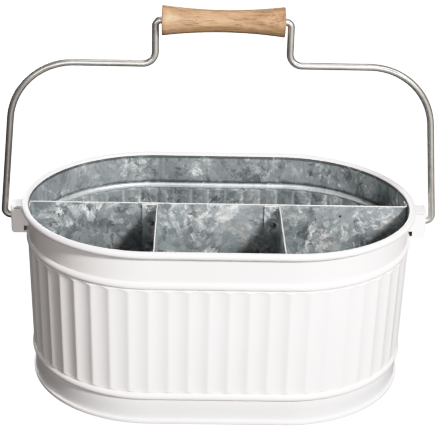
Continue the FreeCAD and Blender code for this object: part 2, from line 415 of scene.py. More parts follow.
def make_galvanised():
    made, lead = new_material("galvanised_spangle")
    place = sheet_place(lead)
    rub, rib, bare = (finish_mark(lead, name) for name in ("rub", "rib", "bare"))

    # Frayed crystals, each turned its own way and combed into leaves and chips
    sway = noise(place, scale=60.0, detail=4.0, roughness=0.6).out("Color")
    ruffle = noise(place, scale=330.0, detail=4.0, roughness=0.62).out("Color")
    frayed = shaken(place, ruffle, 0.004)
    swayed = shaken(frayed, sway, 0.024)
    crystals = cells(stretched(swayed, 56.0, 56.0, 56.0))
    grain = channel(crystals, "Red")
    turned = lead.node("ShaderNodeVectorRotate", {"rotation_type": "EULER_XYZ"}, {
        "Vector": frayed,
        "Rotation": stretched(crystals, 6.28, 6.28, 6.28),
    })
    comb = noise(stretched(turned, 1500.0, 140.0, 420.0), detail=3.0, roughness=0.6)
    slip = lead.node("ShaderNodeCombineXYZ", {}, {"Y": swing(comb, 2.4)})
    combed = stretched(turned, 280.0, 120.0, 190.0).vector("ADD", slip)
    leaf = channel(cells(combed), "Red")
    chip = channel(cells(stretched(combed, 2.2, 2.2, 2.2)), "Green")

    # Bright, glinting and dull leaves, in clusters
    cluster = noise(place, scale=44.0, detail=3.0, roughness=0.55)
    cloud = noise(place, scale=24.0, detail=4.0, roughness=0.6)
    lively = spread(noise(place, scale=33.0), 0.4, 0.6) * 0.6 + 0.55
    bright = spread(leaf + swing(cluster, 1.7), 0.7, 0.84)
    glint = spread(chip + swing(cluster, 1.3), 0.84, 0.92)
    dull = spread(leaf + swing(cluster, 0.9), 0.32, 0.14)
    sheen = bright * (0.06 + comb * 0.46) * (1.0 - bare * 0.3)
    spangle = swing(comb, 0.55) + sheen + glint * 0.3 - dull * 0.2

    # Drawing marks of the wall, painted highlights along its creases, painted light on the left end
    # of its inside, and dividers lighter at their right end and darker at their left
    streaks = noise(stretched(place, 620.0, 620.0, 45.0), detail=3.0, roughness=0.6)
    drawn = swing(streaks, bare) * 0.3
    side = axis_of(object_place(lead), "X")
    # Painted light: the left end of the wall's inside is lighter, where it faces the light
    left_inside_light = (spread(side, 0.0, -0.11) * 0.17 - 0.03) * bare
    right_end, left_end = spread(side, 0.03, 0.06), spread(side, -0.045, -0.07)
    uneven = (right_end * 0.03 - left_end * 0.05) * (1.0 - bare)
    # The crease mark adds a painted highlight along the flutes' creases
    flat = (
        0.335 + swing(grain, 0.2) + swing(cloud, 0.4) + spangle * lively
        + drawn + rib * 0.28 + left_inside_light + uneven
    )
    # The bead mark paints a highlight on the lower flank of each bead, which also smooths the
    # crystals there, and paints shade above it and under the curl
    bead_highlight = rub.clamped()
    tone = (flat * (1.0 - bead_highlight * 0.6) + rub * 0.5 + bead_highlight * 0.1).clamped()
    cool = ramp(
        tone,
        (0.0, colour(0.10, 0.114, 0.118)),
        (0.35, colour(0.306, 0.344, 0.359)),
        (0.65, colour(0.514, 0.559, 0.577)),
        (1.0, colour(0.95, 0.97, 0.97)),
    )
    warm = ramp(
        tone,
        (0.0, colour(0.108, 0.108, 0.104)),
        (0.35, colour(0.335, 0.335, 0.324)),
        (0.65, colour(0.55, 0.548, 0.53)),
        (1.0, colour(0.95, 0.95, 0.94)),
    )
    warmth = spread(cluster, 0.54, 0.68) * (0.75 - bare * 0.55)
    surface(lead, {
        "Base Color": blended(warmth, cool, warm),
        "Metallic": 0.55,
        "Roughness": (0.6 - grain * 0.1 - comb * 0.16 - rub * 0.1).clamped(),
        "Normal": bump(grain * 0.4 + leaf * 0.3 + comb * 0.5, strength=0.12, distance=0.0005),
    })
    return made


def make_edge_highlight():
    """Sheared edge of the sheet, with a painted highlight along it."""
    made, lead = new_material("bright_cut_edge")
    dull, bright = colour(0.56, 0.565, 0.55), colour(0.86, 0.86, 0.84)
    # The noise sets how strong the painted highlight is along the edge
    rub = noise(object_place(lead), scale=160.0, detail=4.0, roughness=0.6)
    surface(lead, {
        "Base Color": blended(spread(rub, 0.3, 0.7), dull, bright),
        "Metallic": 0.25,
        "Roughness": 0.36 + rub * 0.2,
        "Normal": bump(rub, strength=0.1, distance=0.0003),
    })
    return made


def make_dark_mark(name, darkest, lightest):
    """Zinc burnt dark by a spot weld, or painted shade for a small hole or for an ear's inside."""
    made, lead = new_material(name)
    soot = noise(object_place(lead), scale=900.0, detail=3.0, roughness=0.6)
    surface(lead, {
        "Base Color": blended(soot, darkest, lightest),
        "Metallic": 0.4,
        "Roughness": 0.5 + soot * 0.3,
        "Normal": bump(soot, strength=0.2, distance=0.0002),
    })
    return made


def make_steel_wire():
    made, lead = new_material("drawn_steel_wire")
    grey, bright = colour(0.42, 0.40, 0.375), colour(0.72, 0.705, 0.68)
    dark_brown, brown = colour(0.15, 0.135, 0.115), colour(0.20, 0.165, 0.13)
    place = object_place(lead)
    around = finish_mark(lead, "around") * (2 * math.pi)
    drawn = lead.node("ShaderNodeCombineXYZ", {}, {
        "X": around.math("COSINE"),
        "Y": around.math("SINE"),
        "Z": finish_mark(lead, "along") * 18.0,
    })
    streak = noise(drawn, scale=7.0, detail=4.0, roughness=0.6)
    patch = noise(place, scale=45.0, detail=4.0, roughness=0.6)
    fleck = noise(place, scale=420.0, detail=3.0, roughness=0.6)
    clean = blended(spread(patch * 0.5 + streak * 0.5, 0.35, 0.68), grey, bright)
    # Darker brown on the left leg is painted shade, with real tarnish in random patches along the
    # whole wire
    left_leg_shade = spread(axis_of(place, "X"), -0.126, -0.149)
    tarnish_and_shade = (left_leg_shade * 0.5 + swing(patch, 0.5)).clamped()
    spot = spread(fleck, 0.62, 0.74) * 0.5
    surface(lead, {
        "Base Color": blended(spot, blended(tarnish_and_shade, clean, dark_brown), brown),
        "Metallic": 0.88 - spot * 0.4,
        "Roughness": 0.27 + streak * 0.12 + spot * 0.3,
        "Normal": bump(streak + fleck * 0.3, strength=0.1, distance=0.0003),
    })
    return made


def make_turned_wood():
    made, lead = new_material("turned_hardwood")
    pore_dark, end_dark = colour(0.12, 0.056, 0.023), colour(0.17, 0.085, 0.036)
    pith_y, pith_z, wander_reach = 0.021, -0.013, 0.004
    end_width = 0.003
    place = object_place(lead)
    along = axis_of(place, "X")

    # Year rings round a pith outside the grip
    wander = noise(stretched(place, 14.0, 90.0, 90.0), detail=3.0, roughness=0.55)
    lift = wander.out("Color").vector("DOT_PRODUCT", (0.0, 1.0, 0.0), give="Value")
    ring_y = along.out("Y") - pith_y + swing(wander, wander_reach)
    ring_z = along.out("Z") - grip_axis_height - pith_z + swing(lift, wander_reach)
    distance = (ring_y * ring_y + ring_z * ring_z) ** 0.5
    ring = (distance * 2150.0 + along * 18.0).math("SINE") * 0.5 + 0.5

    # Pores and lines along the grain, with curled figure towards the right end
    pores = noise(stretched(place, 150.0, 1900.0, 1900.0), detail=3.0, roughness=0.65)
    lines = noise(
        stretched(place, 60.0, 760.0, 760.0), detail=5.0, roughness=0.65, distortion=1.2)
    curl = noise(
        stretched(place, 420.0, 300.0, 300.0), detail=3.0, roughness=0.6, distortion=1.5)
    figure = spread(curl, 0.5, 0.68) * spread(along, -0.005, 0.035)
    open_grain = spread(pores, 0.52, 0.66) * 0.55 + spread(lines, 0.5, 0.62) * 0.6
    pore = (open_grain + figure * 0.45).clamped()

    broad = noise(stretched(place, 20.0, 110.0, 110.0), detail=4.0, roughness=0.6)
    pale_end = spread(along, -0.005, -0.035)
    tint = ramp(
        (0.56 - ring * 0.3 + swing(broad, 0.9) + pale_end * 0.22).clamped(),
        (0.0, colour(0.25, 0.13, 0.055)),
        (0.45, colour(0.41, 0.245, 0.128)),
        (1.0, colour(0.52, 0.345, 0.205)),
    )
    streaked = blended(pore * 0.85, tint, pore_dark)
    end = spread(along.math("ABSOLUTE"), grip_length / 2 - end_width, grip_length / 2)
    surface(lead, {
        "Base Color": blended(end * 0.4, streaked, end_dark),
        "Roughness": 0.48 + pore * 0.14,
        "Normal": bump(ring * 0.25 - pore * 0.8, strength=0.18, distance=0.0004),
    })
    return made


def new_tree(name, inputs):
    tree = bpy.data.node_groups.new(name, "GeometryNodeTree")
    for label, kind in inputs:
        tree.interface.new_socket(label, in_out="INPUT", socket_type="NodeSocket" + kind)
    tree.interface.new_socket("Shape", in_out="OUTPUT", socket_type="NodeSocketGeometry")
    return tree, Lead(tree).node("NodeGroupInput")


def shape_mark(lead, name, kind="FLOAT"):
    """What is stored under a name on the points of a shape."""
    return lead.node("GeometryNodeInputNamedAttribute", {"data_type": kind}, {"Name": name})


def keep_mark(shape, name, value):
    """Stores a number on each point of a shape."""
    settings = {"data_type": "FLOAT", "domain": "POINT"}
    sockets = {"Geometry": shape, "Name": name, "Value": value}
    return shape.node("GeometryNodeStoreNamedAttribute", settings, sockets)


def merged(shape):
    """A shape with the points of its seams made one."""
    sockets = {"Geometry": shape, "Distance": seam_merge}
    return shape.node("GeometryNodeMergeByDistance", {}, sockets)


def end_tree(shape, material, bare_material=None):
    """Ends a tree: one plain mesh in its material, with any bare faces in the second one."""
    smooth = shape.node("GeometryNodeSetShadeSmooth", {}, {0: shape})
    plain = shape.node("GeometryNodeRealizeInstances", {}, {"Geometry": smooth})
    sockets = {"Geometry": plain, "Material": material}
    dressed = shape.node("GeometryNodeSetMaterial", {}, sockets)
    if bare_material is not None:
        dressed = shape.node("GeometryNodeSetMaterial", {}, {
            "Geometry": dressed,
            "Selection": shape_mark(shape, "bare").math("GREATER_THAN", bare_from),
            "Material": bare_material,
        })
    shape.node("NodeGroupOutput", {}, {"Shape": dressed})


def make_oval_tree():
    """Carries a section, given as points of radius and height, round an oval and flutes it."""
    tree, given = new_tree("carried_round_oval", (
        ("Section", "Geometry"),
        ("Straight", "Float"),
        ("Flutes per side", "Int"),
        ("Flutes per end", "Int"),
        ("Steps per flute", "Int"),
        ("Flute rise", "Float"),
        ("Flute depth", "Float"),
        ("Turn", "Rotation"),
        ("Lift", "Float"),
        ("Material", "Material"),
        ("Bare material", "Material"),
    ))
    section = given.out("Section")
    per_side, per_end = given.out("Flutes per side"), given.out("Flutes per end")
    steps = given.out("Steps per flute")

    # Flat grid with a column for each step round the oval and a row for each point of the section
    columns = (per_side + per_end) * 2.0 * steps
    rows = given.node(
        "GeometryNodeAttributeDomainSize",
        {"component": "MESH"}, {"Geometry": section}, "Point Count",
    )
    grid = given.node("GeometryNodeMeshGrid", {}, {
        "Size X": columns,
        "Size Y": rows - 1.0,
        "Vertices X": columns + 1.0,
        "Vertices Y": rows,
    }, "Mesh")
    position = given.node("GeometryNodeInputPosition")
    spot = axis_of(position, "X")
    column = (spot + columns * 0.5).math("ROUND")
    row = (spot.out("Y") + (rows - 1.0) * 0.5).math("ROUND")

    def sampled(value, kind="FLOAT"):
        return given.node(
            "GeometryNodeSampleIndex",
            {"data_type": kind, "domain": "POINT", "clamp": True},
            {"Geometry": section, "Value": value, "Index": row},
        )

    outline = axis_of(sampled(position, "FLOAT_VECTOR"), "X")
    run_out, bare, rub = (
        sampled(shape_mark(given, name)) for name in ("run_out", "bare", "rub"))

    # Way round: along the front, round the right end, along the rear and round the left end
    walked = column / steps
    share = walked.math("FRACT")
    eased = share - (share * (2 * math.pi)).math("SINE") * (arris_crowding / (2 * math.pi))
    flute = walked.math("FLOOR") + eased
    front = (flute / per_side).clamped()
    right = ((flute - per_side) / per_end).clamped()
    rear = ((flute - per_side - per_end) / per_side).clamped()
    left = ((flute - per_side * 2.0 - per_end) / per_end).clamped()
    axis_x = given.out("Straight") * (front * 2.0 - rear * 2.0 - 1.0)
    angle = (right + left - 0.5) * math.pi

    # Hollow of each flute between two arrises, and how it runs out at its ends
    off = (eased * 2.0 - 1.0).math("ABSOLUTE")
    hollow = 1.0 - off * off
    rest = 1.0 - off
    arris = rest * rest * (arris_start / (1 - arris_start)) + (1 - arris_start)
    scoop = hollow + off.math("GREATER_THAN", arris_start) * (arris - hollow)
    depth = (scoop - run_out * run_out).math("MAXIMUM", 0.0) * given.out("Flute depth")
    swell = (1.0 - run_out * run_out) ** 0.5 * given.out("Flute rise")
    radius = outline + swell - depth
    # Painted highlight along each crease on the bare inside, where light catches the arris
    rib = spread(off, crease_highlight_start, 1.0) * (1.0 - run_out) * bare

    shape = grid
    for name, value in (("bare", bare), ("rub", rub), ("rib", rib)):
        shape = keep_mark(shape, name, value)
    carried = given.node("GeometryNodeSetPosition", {}, {
        "Geometry": shape,
        "Position": given.node("ShaderNodeCombineXYZ", {}, {
            "X": axis_x + radius * angle.math("COSINE"),
            "Y": radius * angle.math("SINE"),
            "Z": outline.out("Z"),
        }),
    })
    turned = given.node("GeometryNodeTransform", {}, {
        "Geometry": merged(carried),
        "Translation": given.node("ShaderNodeCombineXYZ", {}, {"Z": given.out("Lift")}),
        "Rotation": given.out("Turn"),
    })
    end_tree(turned, given.out("Material"), given.out("Bare material"))
    return tree


def make_bent_tree():
    """Carries a rounded section along a bent path: a wire, or a sheet that stands on edge."""
    tree, given = new_tree("carried_along_bends", (
        ("Path", "Geometry"),
        ("Thickness", "Float"),
        ("Height", "Float"),
        ("Rounding", "Float"),
        ("Rounding steps", "Int"),
        ("Bend steps", "Int"),
        ("Upright at", "Float"),
        ("Material", "Material"),
    ))

    def rounded(curve, steps, radius):
        sockets = {"Curve": curve, "Count": steps, "Radius": radius}
        return given.node("GeometryNodeFilletCurve", {"mode": "POLY"}, sockets)

    def walked(give):
        return given.node("GeometryNodeSplineParameter", {}, {}, give)

    corners = given.node("GeometryNodeMeshToCurve", {}, {"Mesh": given.out("Path")})
    bent = rounded(corners, given.out("Bend steps"), shape_mark(given, "bend"))
    blank = given.node("GeometryNodeCurvePrimitiveQuadrilateral", {"mode": "RECTANGLE"}, {
        "Width": given.out("Thickness"),
        "Height": given.out("Height"),
    })
    section = rounded(blank, given.out("Rounding steps"), given.out("Rounding"))
    swept = given.node("GeometryNodeCurveToMesh", {}, {
        "Curve": keep_mark(bent, "along", walked("Length")),
        "Profile Curve": keep_mark(section, "around", walked("Factor")),
        "Fill Caps": True,
    })
    height = axis_of(given.node("GeometryNodeInputPosition"), "Z")
    leaning = given.node("GeometryNodeSetPosition", {}, {
        "Geometry": swept,
        "Offset": given.node("ShaderNodeVectorMath", {"operation": "SCALE"}, {
            0: shape_mark(given, "lean", "FLOAT_VECTOR"),
            "Scale": height - given.out("Upright at"),
        }),
    })
    end_tree(merged(leaning), given.out("Material"))
    return tree


def new_object(name, data):
    made = bpy.data.objects.new(name, data)
    bpy.context.scene.collection.objects.link(made)
    return made


def guide_line(name, points, **marks):
    """Open line of points as an object, with a number or a vector for each mark on each point."""
    mesh = bpy.data.meshes.new(name)
    mesh.from_pydata(points, [(i, i + 1) for i in range(len(points) - 1)], [])
    for mark, values in marks.items():
        if isinstance(values[0], tuple):
            held = mesh.attributes.new(mark, "FLOAT_VECTOR", "POINT")
            held.data.foreach_set("vector", [number for value in values for number in value])
        else:
            held = mesh.attributes.new(mark, "FLOAT", "POINT")
            held.data.foreach_set("value", values)
    return new_object(name, mesh)


def drop_empty_slots(mesh):
    """Removes material slots that hold nothing, and renumbers the faces that used the others."""
    held = [(number, material) for number, material in enumerate(mesh.materials) if material]
    places = {number: place for place, (number, _) in enumerate(held)}
    faces = [places.get(face.material_index, 0) for face in mesh.polygons]
    mesh.materials.clear()
    for _, material in held:
        mesh.materials.append(material)
    mesh.polygons.foreach_set("material_index", faces)


def clean_mesh(mesh, sharp_angle):
    """Closes seams, points the faces outwards and keeps the real edges sharp."""
    work = bmesh.new()
    work.from_mesh(mesh)
    bmesh.ops.remove_doubles(work, verts=work.verts, dist=clean_merge)
    bmesh.ops.dissolve_degenerate(work, edges=work.edges, dist=shortest_edge)
    bmesh.ops.recalc_face_normals(work, faces=work.faces)
    work.to_mesh(mesh)
    work.free()
    mesh.polygons.foreach_set("use_smooth", [True] * len(mesh.polygons))
    mesh.set_sharp_from_angle(angle=math.radians(sharp_angle))


def keep_shape(piece, modifier, sharp_angle):
    """Keeps what a modifier makes as the piece's own plain mesh, and removes the modifier."""
    seen = bpy.context.evaluated_depsgraph_get()
    shaped = bpy.data.meshes.new_from_object(
        piece.evaluated_get(seen), preserve_all_data_layers=True, depsgraph=seen)
    piece.modifiers.remove(modifier)
    piece.data = shaped
    shaped.name = piece.name
    clean_mesh(shaped, sharp_angle)
    drop_empty_slots(shaped)


def grow(guide, tree, sizes, sharp_angle):
    """Runs a tree on a guide line and keeps what it makes as the object's own plain mesh."""
    grower = guide.modifiers.new("grow", "NODES")
    grower.node_group = tree
    for item in tree.interface.items_tree:
        if item.in_out == "INPUT" and item.name in sizes:
            grower[item.identifier] = sizes[item.name]
    keep_shape(guide, grower, sharp_angle)
    return guide


def wall_inside(z):
    """Radius of the smooth wall's inner face, from the axis of the rounded end."""
    return curl_centre_r - curl_radius - wall_slope * (curl_centre_z - z)


def wall_outside(z):
    return wall_inside(z) + sheet


def crest_inside(z):
    return wall_inside(z) - max(flute_depth - flute_rise, 0)


def front_reach(x, z):
    """Distance from the middle plane to the flutes' innermost line, at a place along the tub."""
    past_straight = max(abs(x) - half_straight, 0)
    return math.sqrt(crest_inside(z) ** 2 - past_straight ** 2)


def even(first, last, count):
    """Count numbers from first to last, both included."""
    return [first + (last - first) * i / (count - 1) for i in range(count)]


def arc_points(centre, radius, first, last, count):
    """Points of an arc in the section's plane, angles in degrees."""
    turns = [math.radians(angle) for angle in even(first, last, count)]
    return [(centre[0] + radius * math.cos(t), centre[1] + radius * math.sin(t)) for t in turns]


def bead_points(radius_at, height, thinner, count):
    """Points over one bead, from its lower to its upper edge."""
    ball = (bead_half_height ** 2 + bead_proud ** 2) / (2 * bead_proud) - thinner
    reach = ball - bead_proud
    half = math.degrees(math.acos(reach / ball))
    crest = radius_at(height) + bead_proud
    return [
        (x + radius_at(z) - radius_at(height), z)
        for x, z in arc_points((crest - ball, height), ball, -half, half, count)
    ]


def flute_rows(radius_at):
    """Rows of the fluted band with how far each flute has run out there, from bottom to top."""
    low = [(flute_bottom + flute_fade * (1 - out), out) for out in fade_steps]
    high = [(flute_top - flute_fade * (1 - out), out) for out in reversed(fade_steps)]
    middle = [(z, 0.0) for z in even(low[-1][0], high[0][0], 6)[1:-1]]
    return [(radius_at(z), z, out) for z, out in low + middle + high]


def plain_rows(points):
    """Rows with no flutes."""
    return [(radius, z, 1.0) for radius, z in points]


def wall_side(radius_at, thinner, bead_steps):
    """One face of the wall, from the foot to below the curl."""
    def band(first, last, count):
        return plain_rows((radius_at(z), z) for z in even(first, last, count))

    def bead(height):
        return plain_rows(bead_points(radius_at, height, thinner, bead_steps))

    return (
        band(foot_flange_high + sheet, lower_bead_height - bead_margin, 4)
        + bead(lower_bead_height)
        + flute_rows(radius_at)
        + bead(upper_bead_height)
        + band(upper_bead_height + bead_margin, curl_centre_z - curl_margin, 3)
        + band(curl_centre_z - curl_shade_row, curl_centre_z, 2)
    )


def painted_light_at(z):
    """How much painted highlight the bare wall has at a height, or painted shade if it is negative.
    """
    if z > curl_centre_z - curl_shade_height:
        return curl_shade_amount
    for height in (upper_bead_height, lower_bead_height):
        off = (z - height) / bead_half_height
        if abs(off) < bead_light_reach:
            return bead_highlight_amount if off < bead_light_top else bead_shade_amount
    return 0.0


def carry_round(oval_tree, name, rows, bare, rub, sizes, sharp_angle):
    """Carries rows of radius, height and run-out round an oval, with their marks for the finish and
    for painted light and shade.
    """
    guide = guide_line(
        name,
        [(radius, 0.0, z) for radius, z, _ in rows],
        run_out=[out for _, _, out in rows],
        bare=bare,
        rub=rub,
    )
    return grow(guide, oval_tree, sizes, sharp_angle)


def make_tub_wall(oval_tree, paint, bare_metal):
    foot_edge = wall_outside(foot_flange_high) + foot_flange_width

    def curl(radius, first, last, count):
        return plain_rows(arc_points((curl_centre_r, curl_centre_z), radius, first, last, count))

    painted = (
        plain_rows([(foot_edge, foot_flange_low), (foot_edge, foot_flange_high)])
        + wall_side(wall_outside, 0.0, 9)
        + curl(curl_radius - sheet, curl_inner_start, curl_end_angle, 9)
        + curl(curl_radius, curl_end_angle, paint_edge_angle, 22)
    )
    bare = (
        curl(curl_radius, bare_start_angle, bare_end_angle, 2)
        + wall_side(wall_inside, sheet, 7)[::-1]
        + plain_rows([(wall_inside(foot_flange_low), foot_flange_low)])
    )
    rows = painted + bare + painted[:1]
    flags = [0.0] * len(painted) + [1.0] * len(bare) + [0.0]
    # Painted highlight and painted shade for the bare rows, by height
    painted_lights = [0.0] * len(painted) + [painted_light_at(z) for _, z, _ in bare] + [0.0]
    return carry_round(oval_tree, "tub_wall_dressed", rows, flags, painted_lights, {
        **tub_oval,
        "Steps per flute": steps_per_flute,
        "Flute rise": flute_rise,
        "Flute depth": flute_depth,
        "Material": paint,
        "Bare material": bare_metal,
    }, oval_sharp_angle)


def make_bottom_pan(oval_tree, paint, bare_metal):
    skirt = wall_inside(foot_flange_low) - seat_gap
    lip_inner = wall_outside(foot_flange_high) + foot_flange_width + seat_gap
    lip_outer = lip_inner + sheet
    seam_end = wall_outside(seam_height) + seat_gap
    edge, soft = seam_edge_radius, seam_rounding
    floor = [(radius, floor_top) for radius in even(0.0, skirt - soft, 6)]
    floor += arc_points((skirt - soft, floor_top - soft), soft, 75.0, 0.0, 4)
    seam = [(skirt, sheet), (lip_inner, sheet), (lip_inner, seam_height - sheet)]
    seam += [(seam_end, seam_height - sheet), (seam_end, seam_height - edge)]
    seam += arc_points((seam_end + edge, seam_height - edge), edge, 160.0, 90.0, 3)
    seam += arc_points((lip_outer - soft, seam_height - soft), soft, 90.0, 0.0, 6)
    seam += arc_points((lip_outer - lip_tuck, lip_tuck), lip_tuck, 0.0, -90.0, 9)
    seam += arc_points((skirt - sheet + soft, soft), soft, -90.0, -180.0, 4)
    seam += [(skirt - sheet, floor_lift), (0.0, floor_lift)]
    rows = plain_rows(floor + seam)
    flags = [1.0] * len(floor) + [0.0] * len(seam)
    return carry_round(oval_tree, "bottom_pan_dressed", rows, flags, [0.0] * len(rows), {
        **tub_oval,
        "Steps per flute": pan_steps_per_flute,
        "Flute rise": 0.0,
        "Flute depth": 0.0,
        "Material": paint,
        "Bare material": bare_metal,
    }, oval_sharp_angle)


def make_wood_grip(oval_tree, wood):
    half = grip_length / 2
    bore = bail_wire_diameter / 2 + pivot_clearance
    sag = grip_end_radius - grip_waist_radius
    sweep = (half ** 2 + sag ** 2) / (2 * sag)
    edge = grip_edge_radius

    def turned(z):
        return grip_waist_radius + sweep - math.sqrt(sweep ** 2 - z ** 2)

    lower = [(bore, -half + edge / 2), (bore + edge / 2, -half)]
    lower += [(grip_end_radius - grip_face_rim, -half)]
    lower += arc_points((turned(-half + edge) - edge, -half + edge), edge, -88.0, -5.0, 6)
    middle = [(turned(z), z) for z in even(-half + edge * 1.3, half - edge * 1.3, 31)]
    upper = [(radius, -z) for radius, z in reversed(lower)]
    rows = plain_rows(lower + middle + upper + lower[:1])
    plain = [0.0] * len(rows)
    return carry_round(oval_tree, "wood_grip_turned", rows, plain, plain, {
        "Straight": 0.0,
        "Flutes per side": 0,
        "Flutes per end": grip_sides,
        "Steps per flute": 1,
        "Flute rise": 0.0,
        "Flute depth": 0.0,
        "Turn": (0.0, math.pi / 2, 0.0),
        "Lift": grip_axis_height,
        "Material": wood,
        "Bare material": wood,
    }, grip_sharp_angle)


def make_bail(bent_tree, steel):
    half = [(x, 0.0, z) for x, z, _ in bail_corners]
    corners = half + [(-x, y, z) for x, y, z in reversed(half)]
    radii = [radius for _, _, radius in bail_corners]
    guide = guide_line(
        "bail_wire_bent",
        corners,
        bend=radii + radii[::-1],
        lean=[(0.0, 0.0, 0.0)] * len(corners),
    )
    return grow(guide, bent_tree, {
        "Thickness": bail_wire_diameter,
        "Height": bail_wire_diameter,
        "Rounding": bail_wire_diameter / 2 - round_slack,
        "Rounding steps": 7,
        "Bend steps": 20,
        "Upright at": 0.0,
        "Material": steel,
    }, sheet_sharp_angle)


def standing_sheet(bent_tree, name, plan, top, metal):
    """Sheet on edge along places of x, y, bend radius and lean in x and y, true at its top."""
    middle = (divider_low + top) / 2
    guide = guide_line(
        name,
        [(x, y, middle) for x, y, *_ in plan],
        bend=[spot[2] for spot in plan],
        lean=[(spot[3], spot[4], 0.0) for spot in plan],
    )
    return grow(guide, bent_tree, {
        "Thickness": sheet,
        "Height": top - divider_low,
        "Rounding": divider_edge_rounding,
        "Rounding steps": 3,
        "Bend steps": 5,
        "Upright at": top,
        "Material": metal,
    }, sheet_sharp_angle)


def end_flange(side):
    """Plan of the flange at one end of the long divider, from the web's end to its own edge."""
    radius = crest_inside(divider_top) - divider_wall_gap - sheet / 2
    places = []
    for angle in even(0.0, end_flange_width / crest_inside(divider_top), 5):
        away = (side * math.cos(angle), side * math.sin(angle))
        spot = (side * half_straight + radius * away[0], radius * away[1])
        bend = divider_bend if angle == 0.0 else 0.0
        places.append((*spot, bend, wall_slope * away[0], wall_slope * away[1]))
    return places


def round_tool(name, radius, crown, place):
    """Punch across the tub, along Y: a round pin, crowned at both ends."""
    work = bmesh.new()
    bmesh.ops.create_cone(
        work, cap_ends=True, segments=32, radius1=radius, radius2=radius,
        depth=2 * punch_half_length,
        matrix=Matrix.Translation(place) @ Matrix.Rotation(math.pi / 2, 4, "X"),
    )
    for cap in [face for face in work.faces if len(face.verts) > 4]:
        away = cap.normal.copy()
        bmesh.ops.inset_individual(work, faces=[cap], thickness=radius * punch_crown_inset)
        bmesh.ops.translate(work, verts=cap.verts, vec=away * crown)
    mesh = bpy.data.meshes.new(name)
    work.to_mesh(mesh)
    work.free()
    return new_object(name, mesh)


def punch(piece, tool):
    """Cuts a tool's shape out of a piece and removes the tool."""
    cut = piece.modifiers.new("punch", "BOOLEAN")
    cut.operation = "DIFFERENCE"
    cut.solver = "EXACT"
    cut.object = tool
    keep_shape(piece, cut, sheet_sharp_angle)
    bpy.data.objects.remove(tool)


def paint_edge_highlight(piece, top, edge_highlight):
    """Gives the sheared top edge of a sheet a painted highlight as its own finish."""
    piece.data.materials.append(edge_highlight)
    for face in piece.data.polygons:
        if face.center.z > top - divider_edge_rounding:
            face.material_index = len(piece.data.materials) - 1


def darken(piece, place, diameter, dark):
    """Gives the dimple of a spot weld its dark finish, or the dimple of a hole its painted shade.
    """
    piece.data.materials.append(dark)
    for face in piece.data.polygons:
        off = face.center - place
        near = math.hypot(off.x, off.z) < diameter / 2 and abs(off.y) < mark_reach
        if near and face.normal.y < 0:
            face.material_index = len(piece.data.materials) - 1


def finish_sheet(piece, top, mark, diameter, depth, edge_highlight, dark):
    """Punches a round mark into the front of a sheet, with a painted highlight on its top edge, and
    a dark mark: a weld's burn, or painted shade in a hole.
    """
    outside = mark - Vector((0.0, punch_half_length, 0.0))
    punch(piece, round_tool(piece.name + "_tool", diameter / 2, depth, outside))
    paint_edge_highlight(piece, top, edge_highlight)
    darken(piece, mark, diameter, dark)
    return piece


def make_long_divider(bent_tree, metal, edge_highlight, dark):
    plan = end_flange(-1)[::-1] + end_flange(1)
    piece = standing_sheet(bent_tree, "long_divider_bent", plan, divider_top, metal)
    # The hang hole is a shallow dimple, painted dark as the shade inside a hole
    hole = Vector((hang_hole_x, -sheet / 2, hang_hole_height))
    return finish_sheet(
        piece, divider_top, hole, hang_hole_diameter, hang_hole_depth, edge_highlight, dark)


def make_cross_divider(bent_tree, name, web_x, metal, edge_highlight, dark):
    top = cross_divider_top
    back = -sheet / 2 - seat_gap - sheet / 2
    outermost = max(abs(web_x), abs(web_x - front_flange_width))
    front_low = divider_wall_gap - front_reach(outermost, divider_low)
    front_high = divider_wall_gap - front_reach(outermost, top)
    lean = (front_high - front_low) / (top - divider_low)
    middle_x = web_x - sheet / 2
    front = front_high + sheet / 2
    plan = [
        (web_x - divider_flange_width, back - flange_spring, 0.0, 0.0, 0.0),
        (middle_x, back, divider_bend, 0.0, 0.0),
        (middle_x, front, divider_bend, 0.0, lean),
        (web_x - front_flange_width, front, 0.0, 0.0, lean),
    ]
    piece = standing_sheet(bent_tree, name, plan, top, metal)
    weld = Vector((web_x - sheet - weld_mark_from_web, back - sheet / 2, weld_mark_height))
    return finish_sheet(
        piece, top, weld, weld_mark_diameter, weld_mark_depth, edge_highlight, dark)


def make_camera():
    back = Vector((
        math.sin(camera_yaw) * math.cos(camera_elevation),
        -math.cos(camera_yaw) * math.cos(camera_elevation),
        math.sin(camera_elevation),
    ))
    right = (-back).cross(Vector((0, 0, 1))).normalized()
    up = right.cross(-back)
    across = right * math.cos(camera_roll) + up * math.sin(camera_roll)
    upward = up * math.cos(camera_roll) - right * math.sin(camera_roll)
    eye = bpy.data.cameras.new("photo_camera")
    eye.lens = camera_lens
    eye.sensor_fit = "HORIZONTAL"
    eye.sensor_width = camera_sensor
    eye.clip_start, eye.clip_end = camera_near, camera_far
    camera = new_object("photo_camera", eye)
    turn = Matrix((across, upward, back)).transposed().to_4x4()
    camera.matrix_world = Matrix.Translation(camera_place) @ turn
    bpy.context.scene.camera = camera


def make_lights():
    for name, place, size, watts, tint in lights:
        lamp = bpy.data.lights.new(name, "AREA")
        lamp.shape = "RECTANGLE"
        lamp.size, lamp.size_y = size
        lamp.energy = watts
        lamp.color = tint
        light = new_object(name, lamp)
        light.location = place
        light.rotation_euler = (light_aim - Vector(place)).to_track_quat("-Z", "Y").to_euler()


